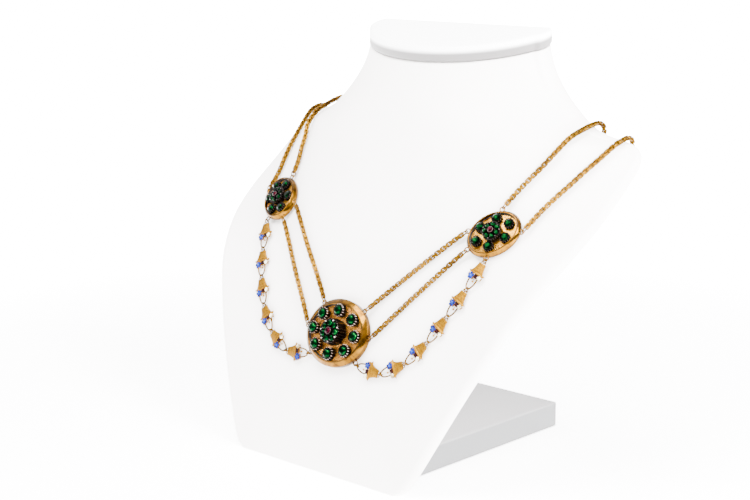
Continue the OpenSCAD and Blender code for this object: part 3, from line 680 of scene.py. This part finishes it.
# Rosettes: a tall lobed cup of blackened silver on each plate, with petal stones round a post.
# A ruby-coloured stone sits on the post in a ring of pale silver.
LOBE_DEPTH, CUP_WALL, CUP_FLOOR, POST_RISE, POST_WALL = 0.5, 0.35, 1.0, 0.9, 0.35
PETAL_H, RUBY_H, RUBY_SEAT, RUBY_INSET = 1.7, 1.3, 0.5, 0.45
RIBS_A_LOBE, LOBE_RIB_R, LOBE_TOOTH_R = 4, 0.16, 0.14
LOBE_TOOTH = [(0.1, 1.1, 0.4), (0.08, 0.4, 1), (0.02, 0.05, 0.7)]
HOLLOW_BEAD, HOLLOW_BEAD_Z = (0.3, 0.24, 0.3), 0.25
BAND_R, BAND_INSET = 0.22, 0.12

pale_silver = mottled("pale_silver", (0.045, 0.024, 0.025), (0.014, 0.007, 0.008),
                      scale=1200, detail=2, steps=(0.45, 0.7), gloss=(0.2, 0.2), Metallic=1)[0]
ruby_glass = foiled_paste("ruby_paste", (0.012, 0.0002, 0.002), (0.004, 0.0001, 0.0006))


def bead(place, size, material, finer=2):
    """A dome, bead or petal: a ball drawn out to a size along each axis."""
    bpy.ops.object.select_all(action="DESELECT")
    bpy.ops.mesh.primitive_ico_sphere_add(subdivisions=finer, radius=1)
    bpy.ops.object.shade_smooth()
    piece = painted(bpy.context.object, material)
    return put(piece, Matrix.Translation(place) @ Matrix.Diagonal((*size, 1)))


def lobed(r, petals, angle):
    """Radius of a lobed outline whose outermost points are at r."""
    return r - LOBE_DEPTH * (1 - abs(math.cos(petals * angle / 2)))


def rosette_cup(foot_r, top_r, petals, post_r, h, silver):
    """A rosette's cup with its post: ribs up the lobes, filed teeth at the brim, a bead in each hollow
    between two lobes, and the pale band round the post's top."""
    floor_z, post_top = h - CUP_FLOOR, h + POST_RISE
    inner, post_bore = top_r - CUP_WALL, post_r - POST_WALL
    radii = [(foot_r, 0), (top_r, h), (inner, h), (inner, floor_z), (post_r, floor_z),
             (post_r, post_top), (post_bore, post_top), (post_bore, post_top - RUBY_SEAT)]
    cup = grown("cup", [(r, r, z) for r, z in radii], sides=petals * 12)
    for vertex in cup.data.vertices:
        r = math.hypot(*vertex.co.xy)
        if r > post_r + GAP:
            vertex.co.xy *= lobed(r, petals, math.atan2(vertex.co.y, vertex.co.x)) / r
    only(cup)
    bpy.ops.object.shade_smooth_by_angle(angle=math.radians(25))
    pieces = [painted(cup, dark_silver)]
    for i in range(petals * RIBS_A_LOBE):
        angle = 2 * math.pi * (i + 0.5) / (petals * RIBS_A_LOBE)
        foot, brim = lobed(foot_r, petals, angle), lobed(top_r, petals, angle)
        foot_to_brim = [(foot, 0, 0.2), (brim + 0.05, 0, h - 0.1)]
        rib = joined("rib", [drawn_wire(foot_to_brim, LOBE_RIB_R, dark_silver),
                             filed_end(brim, h, LOBE_TOOTH, LOBE_TOOTH_R, silver)])
        pieces.append(put(rib, Matrix.Rotation(angle, 4, "Z")))
    hollow = lobed(top_r, petals, math.pi / petals) - 0.2
    for turned in about(petals, 0.5):
        pieces.append(put(bead((hollow, 0, h + HOLLOW_BEAD_Z), HOLLOW_BEAD, silver), turned))
    band = ring(post_r - BAND_INSET, BAND_R, pale_silver, sides=32)
    pieces.append(put(band, Matrix.Translation((0, 0, post_top + 0.02))))
    return joined("rosette", pieces)


# Each row: the turn and the case's height of the plaque, the cup's radius at the foot and the brim, the
# petals' number, the radius of their ring and their own, the post's radius, and the cup's height.
SIDE_ROSETTE = (SIDE_TURN, SIDE_CASE, 4.55, 4.85, 7, 3.1, 1.26, 1.4, 3.3)
ROSETTES = {"centre": (0, CENTRE_CASE, 6.7, 6.05, 7, 3.9, 1.6, 1.75, 5.2),
            "right": SIDE_ROSETTE, "left": SIDE_ROSETTE}
for name, (turn, case_h, foot_r, top_r, petals, petal_ring, petal_r, post_r, h) in ROSETTES.items():
    on_plate = Matrix.Translation((0, 0, case_h - PLATE_DROP + GAP))
    stand = PLAQUES[name][0] @ Matrix.Rotation(turn, 4, "Z") @ on_plate
    cup = put(rosette_cup(foot_r, top_r, petals, post_r, h, TOOTH_SILVER[name]), stand)
    wear(cup, "dark_silver", None, name + "_rosette")
    cup.name = name + "_lobed_cup"
    outwards = Matrix.Translation((petal_ring, 0, h - CUP_FLOOR + GAP))
    petal = cut_stone("petal", petal_r, PETAL_H, PASTES[name])
    around = [turned @ outwards for turned in about(petals)]
    petal_stones = put(repeated(name + "_petal_pastes", petal, around), stand)
    wear(petal_stones, "green_stone", None, name + "_petals")
    ruby = cut_stone(name + "_ruby_paste", post_r - RUBY_INSET, RUBY_H, ruby_glass)
    on_post = Matrix.Translation((0, 0, h + POST_RISE - RUBY_SEAT + GAP))
    wear(put(ruby, stand @ on_post), "ruby_stone", None, name + "_ruby")

# Front chains: box links of gold band, each through the next at right angles, and end rings of wire.
# They and the garland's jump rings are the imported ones, grown a little, the links' edges rubbed down.
LINK_EDGE = 0.13
LINK_MORE, RING_MORE = 0.04, 0.07
chain_gold = gold_finish("chain_gold", (0.125, 0.058, 0.0018), (0.03, 0.0105, 0.0003),
                         roughness=0.3, relief=0.03, scale=900)
wire_gold = gold_finish("wire_gold", (0.095, 0.042, 0.0013), (0.028, 0.01, 0.0003),
                        roughness=0.3, relief=0.03, scale=900)


def thickened(piece, more):
    """Grows a piece a little all over, in millimetres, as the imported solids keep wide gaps."""
    only(piece)
    growth = piece.modifiers.new("growth", "DISPLACE")
    growth.strength, growth.mid_level = more * MM, 0
    bpy.ops.object.modifier_apply(modifier="growth")
    return piece


for side in HANDS:
    for level in ("upper", "lower"):
        node = f"front_strand_{side}_{level}"
        chain = merged_copy(node, f"{side}_{level}_chain")
        softened(chain, LINK_EDGE * MM, segments=1, angle=40)
        wear(thickened(chain, LINK_MORE), "gold", chain_gold, node)
    rings = thickened(merged_copy(side + "_garland_rings", side + "_jump_rings"), RING_MORE)
    rings.data.shade_smooth()
    wear(rings, "gold", wire_gold, side + "_garland_rings")

# Garland: flat flower baskets of gold, each hung by its foot frame from a round ring.
# The pot is chased like wicker, and the flowers over its lip are enamelled blue, dark red and white.
# A basket's own frame, in millimetres, has its foot bar at the origin, +X to the handle and +Z outwards.
BASKET_LEN, BASKET_T, WIRE_R = 14.7, 0.9, 0.25
WIRE_MORE = 0.14
FRAME_LEN, FRAME_W = 1.3, 1.25
POT_START, POT_END, LIP_END = 1.05, 5.95, 6.85
POT_FOOT, POT_TOP, LIP_W = 2.0, 3.5, 4.4
POT_STEPS, POT_SWELL = 6, 1.7
LIP_BEADS, LIP_BEAD, LIP_BEAD_STEP = 10, (0.24, 0.28, 0.16), 0.82
POT_BEADS, POT_BEAD, POT_BEAD_STEP = 4, (0.32, 0.34, 0.16), 1.4
EAR, EAR_LEAN = [(0.3, 0.3, 0), (0.22, 0.24, 0.5), (0.05, 0.06, 0.95)], math.radians(100)
BACKING_T, BUD_R, STALK_R = 0.9, 0.5, 0.15
HANDLE_W, HANDLE_SWEEP, HANDLE_BENDS = 2.2, math.radians(130), 28
WEAVE = 5.2
LENGTHWISE = Matrix(((0, 0, 1, 0), (1, 0, 0, 0), (0, 1, 0, 0), (0, 0, 0, 1)))

basket_gold, sockets, wire = new_finish("chased_basket_gold", Metallic=1)
local = wire.node("Attribute", out="Vector", attribute_name="basket_place")
along = wire.node("SeparateXYZ", {0: local}, out="X")
across = wire.node("SeparateXYZ", {0: local}, out="Y")
weave = wire.math("SINE", along * WEAVE) * wire.math("SINE", across * WEAVE)
grit = wire.node("TexNoise", {"Vector": local, "Scale": 1.6, "Detail": 3})
wire.node("Mix", {"Factor": grit.step(0.35, 0.7), 6: (0.25, 0.115, 0.0006, 1), 7: (0.12, 0.05, 0.0003, 1)},
          out=2, data_type="RGBA").to(sockets["Base Color"])
(0.34 + 0.15 * grit).to(sockets["Roughness"])
wire.node("Bump", {"Height": weave + grit, "Strength": 0.5, "Distance": 0.08 * MM}).to(sockets["Normal"])


def enamel(name, light, dark):
    """Fired enamel, a little uneven in tone, its gloss kept low so that its colour shows."""
    return mottled(name, light, dark, scale=600, detail=2, steps=(0.35, 0.65), gloss=(0.2, 0.15),
                   Metallic=0, Specular_IOR_Level=0.03, Coat_Weight=0.03, Coat_Roughness=0.08)[0]


blue_enamel = enamel("blue_enamel", (0.004, 0.014, 0.14), (0.001, 0.004, 0.05))
sky_enamel = enamel("sky_blue_enamel", (0.012, 0.05, 0.3), (0.006, 0.025, 0.16))
wine_enamel = enamel("wine_red_enamel", (0.01, 0.0004, 0.0006), (0.003, 0.0002, 0.0002))
white_enamel = enamel("white_enamel", (0.8, 0.75, 0.6), (0.2, 0.16, 0.08))
# Each flower: how far past the lip and how far aside it lies, its petals, their ring and their radius,
# and the enamels of its petals and of its heart.
FLOWERS = [(1.55, -2.2, 5, 1.15, 0.72, blue_enamel, sky_enamel),
           (0.85, 0.75, 4, 0.65, 0.7, wine_enamel, wine_enamel),
           (1.0, 3.0, 5, 0.7, 0.5, white_enamel, white_enamel)]
# Each bud: how far past the lip and how far aside it lies, and its radius.
BUDS = [(0.75, -3.9, 0.4), (3.6, 0.5, BUD_R)]


def flower(along, aside, petals, spread, petal_r, petal_enamel, heart_enamel):
    """Domed petals over a flat gold backing, round a raised heart."""
    pieces, half = [], BACKING_T / 2
    for i in range(petals):
        angle = 2 * math.pi * i / petals + math.radians(45)
        x, y = along + spread * math.cos(angle), aside + spread * math.sin(angle)
        backing = grown("backing", [(petal_r, petal_r, -half), (petal_r, petal_r, half)], sides=12)
        pieces.append(put(painted(backing, basket_gold), Matrix.Translation((x, y, 0))))
        pieces.append(bead((x, y, half), (petal_r * 0.93, petal_r * 0.93, 0.3), petal_enamel))
    pieces.append(bead((along, aside, 0.55), (spread * 0.55, spread * 0.55, 0.35), heart_enamel))
    return pieces


def basket():
    """One basket link: foot frame, pot, beaded lip with pointed ears, flowers, buds and handle.
    The rows of the pot and the lip are half the width, half the thickness and how far along."""
    half = BASKET_T / 2
    bends = [(FRAME_LEN, -FRAME_W, 0), (0, -FRAME_W, 0), (0, FRAME_W, 0), (FRAME_LEN, FRAME_W, 0)]
    pieces = [drawn_wire(bends, WIRE_R, wire_gold)]
    rows = []
    for i in range(POT_STEPS + 1):
        wide = POT_FOOT + (POT_TOP - POT_FOOT) * (i / POT_STEPS) ** POT_SWELL
        rows.append((wide, half, POT_START + (POT_END - POT_START) * i / POT_STEPS))
    pot = softened(grown("pot", rows), width=0.14, angle=40)
    pieces.append(put(painted(pot, basket_gold), LENGTHWISE))
    rows = [(POT_TOP, half, POT_END - 0.15), (LIP_W, 0.55, POT_END + 0.15),
            (LIP_W - 0.05, 0.6, POT_END + 0.5), (LIP_W - 0.5, 0.55, LIP_END)]
    lip = softened(grown("lip", rows), width=0.1, angle=40)
    pieces.append(put(painted(lip, basket_gold), LENGTHWISE))
    for i in range(LIP_BEADS):
        on_lip = (POT_END + 0.42, -3.7 + LIP_BEAD_STEP * i, 0.6)
        pieces.append(bead(on_lip, LIP_BEAD, basket_gold, finer=1))
    for i in range(POT_BEADS):
        on_pot = (POT_END - 0.9, -2.1 + POT_BEAD_STEP * i, 0.42)
        pieces.append(bead(on_pot, POT_BEAD, basket_gold))
    for side in (-1, 1):
        ear = painted(grown("ear", EAR, sides=6), basket_gold)
        at_lip = Matrix.Translation((POT_END + 0.2, (LIP_W - 0.35) * side, 0.05))
        pieces.append(put(ear, at_lip @ Matrix.Rotation(-EAR_LEAN * side, 4, "X")))
    for along, *rest in FLOWERS:
        pieces += flower(LIP_END + along, *rest)
    for along, aside, r in BUDS:
        pieces.append(bead((LIP_END + along, aside, 0), (r, r, r), basket_gold))
        stalk = [(LIP_END - 0.2, aside, 0), (LIP_END + along, aside, 0)]
        pieces.append(drawn_wire(stalk, STALK_R, basket_gold))
    start = POT_END + (LIP_END - POT_END) / 2
    span = (BASKET_LEN - start) / (1 - math.cos(HANDLE_SWEEP))
    angles = [-HANDLE_SWEEP + 2 * HANDLE_SWEEP * i / HANDLE_BENDS for i in range(HANDLE_BENDS + 1)]
    handle = [(BASKET_LEN - span + span * math.cos(t), HANDLE_W * math.sin(t), 0) for t in angles]
    pieces.append(drawn_wire(handle, WIRE_R + WIRE_MORE, wire_gold, fineness=2))
    piece = joined("basket", pieces)
    place = piece.data.attributes.new("basket_place", "FLOAT_VECTOR", "POINT")
    for value, vertex in zip(place.data, piece.data.vertices):
        value.vector = vertex.co
    return piece


# Out from the chest and a little up, to tell a basket's front from its back.
FORWARD = Vector((0, -1, 0.3)).normalized()


def lying(node, onwards):
    """Where a packed basket lies, from its flat face, its lip's straight edge and its reach each way."""
    out = facing(node, FORWARD, lambda part: part > 0.5)
    along = facing(node, out, lambda part: part < 0.02)
    along = (along - out * along.dot(out)).normalized()
    along *= 1 if along.dot(onwards) > 0 else -1
    across = out.cross(along)
    points = [vertex.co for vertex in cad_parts[node].data.vertices]
    origin = (along * (min(p.dot(along) for p in points) + WIRE_R * MM)
              + across * (max(p.dot(across) for p in points) - LIP_W * MM)
              + out * (min(p.dot(out) for p in points) + BUD_R * MM))
    turn = Matrix((along, across, out)).transposed().to_4x4()
    return Matrix.Translation(origin) @ turn @ Matrix.Scale(MM, 4)


def middle(node):
    """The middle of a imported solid's box."""
    low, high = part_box(node)
    return (low + high) / 2


BASKETS = 6
model = basket()
for side in HANDS:
    nodes = [f"{side}_basket_{i + 1}" for i in range(BASKETS)]
    middles = [middle(node) for node in nodes]
    for i, node in enumerate(nodes):
        first = min(i, BASKETS - 2)
        link = bpy.data.objects.new(f"{side}_flower_basket_{i + 1}", model.data.copy())
        bpy.context.scene.collection.objects.link(link)
        put(link, lying(node, middles[first + 1] - middles[first]))
        wear(link, "enamelled_gold", None, node)
bpy.data.objects.remove(model)

# Back chains: the same box links, from each side plaque over the shoulder to the clasp, with an oval
# ring in the plaque's loop. The ring and the first link are rolled about their run by RING_ROLL degrees
# and each later link by TWIST more, up to CHAIN_ROLL. The routes' points are in millimetres.
LINK_BORE, LINK_BORE_W, LINK_T, LINK_BAND = 1.84, 1.22, 0.64, 1.03
LINK_CORNER, LINK_PITCH, FIRST_LINK = 0.4, 1.78, 3.76
RING_ROLL, CHAIN_ROLL, TWIST = 6, 45, 3
HOOK_OUT = 1.15
END_RING_LEN, END_RING_W, END_RING_WIRE = 4.0, 2.9, 0.28
INNER_ROUTE = [
    (72.9, -6.3, 137.6), (76.0, -0.7, 143.6), (79.0, 5.2, 149.4), (82.0, 10.4, 155.3), (83.6, 19.0, 161.4),
    (84.3, 28.4, 164.6), (85.0, 36.0, 166.4), (85.3, 41.2, 166.6), (85.2, 44.6, 164.2), (83.6, 45.3, 160.6),
    (74, 45.2, 158.6), (62, 45, 157.2), (50, 45, 156.3), (38, 45, 155.6), (24, 45, 155.2), (6.4, 45, 155)]
OUTER_ROUTE = [
    (87.2, -7.2, 129.8), (90.0, -0.4, 135.7), (93.1, 6.8, 141.4), (95.8, 14.3, 147.1), (98.7, 22.6, 152.9),
    (100.7, 29.0, 157.4), (101.7, 33.7, 159.8), (101.9, 39.3, 161.1), (101.8, 43.4, 160.2),
    (100.8, 45.3, 156.6), (94, 45.2, 152.8), (82, 45, 149.8), (68, 45, 147.6), (52, 45, 146.1),
    (32, 45, 145.2), (6.4, 45, 144.8)]


def smooth_route(points, steps=8):
    """Points along a smooth curve through a route's own points."""
    ends = [2 * points[0] - points[1]] + points + [2 * points[-1] - points[-2]]
    fine = []
    for a, b, c, d in zip(ends, ends[1:], ends[2:], ends[3:]):
        for i in range(steps):
            t = i / steps
            fine.append(0.5 * (2 * b + (c - a) * t + (2 * a - 5 * b + 4 * c - d) * t ** 2
                               + (3 * b - a - 3 * c + d) * t ** 3))
    return fine + [points[-1]]


def stations(points, first, pitch):
    """Places at even steps along a run of points, each with the way it goes."""
    places, travelled, wanted = [], 0.0, first
    for a, b in zip(points, points[1:]):
        length = (b - a).length
        while wanted <= travelled + length:
            places.append((a + (b - a) * (wanted - travelled) / length, (b - a).normalized()))
            wanted += pitch
        travelled += length
    return places


def set_on(place, along, out):
    """A frame at a place with +X along one direction and +Z as near as it can be to another."""
    across = out.cross(along).normalized()
    turn = Matrix((along, across, along.cross(across))).transposed().to_4x4()
    return Matrix.Translation(place) @ turn @ Matrix.Scale(MM, 4)


def box_link():
    """A box link lying flat, the edges of its band rubbed down."""
    bpy.ops.object.select_all(action="DESELECT")
    bpy.ops.mesh.primitive_plane_add(size=1)
    bpy.ops.object.mode_set(mode="EDIT")
    bpy.ops.transform.resize(value=(LINK_BORE + 2 * LINK_T, LINK_BORE_W + 2 * LINK_T, 1))
    bpy.ops.mesh.bevel(offset=LINK_CORNER, affect="VERTICES")
    bpy.ops.mesh.inset(thickness=LINK_T)
    bpy.ops.mesh.delete(type="FACE")
    bpy.ops.mesh.select_all(action="SELECT")
    bpy.ops.transform.translate(value=(0, 0, -LINK_BAND / 2))
    bpy.ops.mesh.extrude_region_move(TRANSFORM_OT_translate={"value": (0, 0, LINK_BAND)})
    bpy.ops.mesh.select_all(action="SELECT")
    bpy.ops.mesh.normals_make_consistent(inside=False)
    bpy.ops.object.mode_set(mode="OBJECT")
    return painted(softened(bpy.context.object, LINK_EDGE, segments=1, angle=40), chain_gold)


def away_from_bust(place, along, roll):
    """The way out from the bust at a place, rolled about the chain's run by an angle in degrees."""
    nearest = bust.closest_point_on_mesh(place)[1]
    return Matrix.Rotation(math.radians(roll), 3, along) @ (place - nearest).normalized()


def end_ring():
    """An oval ring of round wire: two half rounds with straight sides between them."""
    straight, arc = (END_RING_LEN - END_RING_W) / 2, END_RING_W / 2 - END_RING_WIRE
    points, steps = [], 8
    for start, middle_x in ((-90, straight), (90, -straight)):
        for i in range(steps + 1):
            angle = math.radians(start + 180 * i / steps)
            points.append((middle_x + arc * math.cos(angle), arc * math.sin(angle), 0))
    return drawn_wire(points, END_RING_WIRE, wire_gold, cyclic=True, fineness=2)


for name, direction, route in (("inner", INNER_LOOP, INNER_ROUTE), ("outer", OUTER_LOOP, OUTER_ROUTE)):
    direction = math.radians(direction)
    out = reach(SIDE_A, SIDE_B, SIDE_TURN, direction) + HOOK_OUT
    hook = RIGHT @ Vector((out * math.cos(direction), out * math.sin(direction), SIDE_LOOP_Z))
    points = smooth_route([hook] + [Vector(point) * MM for point in route])
    places = []
    for i, (place, along) in enumerate(stations(points, FIRST_LINK * MM, LINK_PITCH * MM)):
        away = away_from_bust(place, along, min(CHAIN_ROLL, RING_ROLL + TWIST * i))
        places.append(set_on(place, along, away.cross(along) if i % 2 else away))
    run = [repeated("links", box_link(), places)]
    place, along = stations(points, (END_RING_LEN / 2 - END_RING_WIRE) * MM, pitch=1.0)[0]
    away = away_from_bust(place, along, RING_ROLL)
    run.append(put(end_ring(), set_on(place, along, away.cross(along))))
    right_run = joined("right_run", run)
    left_run = bpy.data.objects.new("left_run", right_run.data.copy())
    bpy.context.scene.collection.objects.link(left_run)
    chain = joined(name + "_back_chain", [right_run, put(left_run, MIRROR)])
    wear(chain, "gold", None, "back_strand_" + name)

# Clasp: a plain gold plate behind the neck that both rows run into.
# The photograph doesn't show its catch, so it is one piece with its edges rounded.
CLASP_ROUND = 0.5 * MM
clasp = softened(merged_copy("clasp", "clasp_plate"), CLASP_ROUND, segments=3)
wear(clasp, "gold", rim_gold, "clasp")
